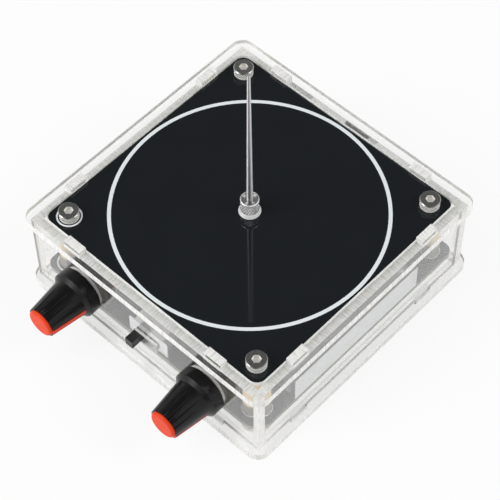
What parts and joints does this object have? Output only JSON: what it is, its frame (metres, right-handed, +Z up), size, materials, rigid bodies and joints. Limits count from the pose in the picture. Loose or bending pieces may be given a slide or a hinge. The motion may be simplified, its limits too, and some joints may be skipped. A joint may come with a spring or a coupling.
{
  "type": "musical high-voltage coil",
  "caption": "Square clear-cased musical high-voltage coil with a black coil board, an upright discharge needle, rotary knobs and a slide switch.",
  "frame": {"origin": "centre of the underside of the clear bottom plate", "axes": "+Z up along the discharge needle, -Y out of the wall that carries the two knobs and the slide switch, +X along that wall towards the right knob seen from the front"},
  "size_m": [0.095, 0.1106, 0.0919],
  "materials": {
    "clear_acrylic": "clear cast sheet with laser-cut edges",
    "black_board": "glossy black solder mask over glass-fibre board",
    "white_print": "white screen print",
    "copper": "bare copper foil",
    "cream_nylon": "moulded nylon",
    "steel_screw": "plated steel",
    "polished_steel": "turned and polished steel",
    "knob_black": "satin moulded plastic",
    "cap_red": "satin moulded plastic",
    "bright_metal": "plain bright metal",
    "black_plastic": "moulded plastic",
    "phenolic": "phenolic paper board",
    "tinned_lead": "tinned wire",
    "switch_steel": "bright folded sheet",
    "sink_aluminium": "plain extrusion",
    "grey_pad": "silicone pad",
    "sleeve_black": "sleeved aluminium can",
    "film_red": "dipped coating",
    "ferrite": "pressed ferrite",
    "module_green": "green solder mask"
  },
  "bodies": {
    "case": {"bottom_plate": "clear_acrylic", "front_wall": "clear_acrylic", "back_wall": "clear_acrylic", "left_wall": "clear_acrylic", "right_wall": "clear_acrylic", "top_frame": "clear_acrylic", "coil_board": "black_board", "driver_board": "black_board", "coil_circle_print": "white_print", "corner_ring_print": "white_print", "primary_winding": "copper", "secondary_winding": "copper", "lower_spacers": "cream_nylon", "upper_standoffs": "cream_nylon", "top_screws": "steel_screw", "bottom_screws": "steel_screw", "transistor_screws": "steel_screw", "base_nuts": "steel_screw", "discharge_needle": "polished_steel", "needle_nut": "polished_steel", "needle_lock_nut": "polished_steel", "left_pot_bushing": "bright_metal", "right_pot_bushing": "bright_metal", "power_inlet_pin": "bright_metal", "audio_module_shield": "bright_metal", "transistor_tabs": "bright_metal", "left_pot_body": "black_plastic", "right_pot_body": "black_plastic", "switch_base": "black_plastic", "power_inlet_body": "black_plastic", "audio_inlet_body": "black_plastic", "transistor_bodies": "black_plastic", "driver_chips": "black_plastic", "left_pot_strip": "phenolic", "right_pot_strip": "phenolic", "pot_leads": "tinned_lead", "switch_leads": "tinned_lead", "power_inlet_leads": "tinned_lead", "audio_inlet_leads": "tinned_lead", "transistor_leads": "tinned_lead", "capacitor_leads": "tinned_lead", "link_wires": "tinned_lead", "switch_case": "switch_steel", "heat_sink": "sink_aluminium", "insulating_pads": "grey_pad", "bulk_capacitor": "sleeve_black", "film_capacitors": "film_red", "power_inductor": "ferrite", "audio_module_board": "module_green"},
    "left_control": {"left_knob": "knob_black", "left_knob_cap": "cap_red", "left_pot_shaft": "bright_metal"},
    "right_control": {"right_knob": "knob_black", "right_knob_cap": "cap_red", "right_pot_shaft": "bright_metal"},
    "switch_slider": {"switch_lever": "black_plastic"}
  },
  "joints": [
    {"name": "left_knob_turn", "type": "hinge", "parent": "case", "child": "left_control", "pos_m": [-0.0249, -0.0573, 0.0156], "axis": [0, 1, 0], "range_deg": [-245, 55]},
    {"name": "right_knob_turn", "type": "hinge", "parent": "case", "child": "right_control", "pos_m": [0.0249, -0.0573, 0.0156], "axis": [0, 1, 0], "range_deg": [-268, 32]},
    {"name": "switch_slide", "type": "slide", "parent": "case", "child": "switch_slider", "axis": [1, 0, 0], "range_m": [0, 0.0058]}
  ]
}
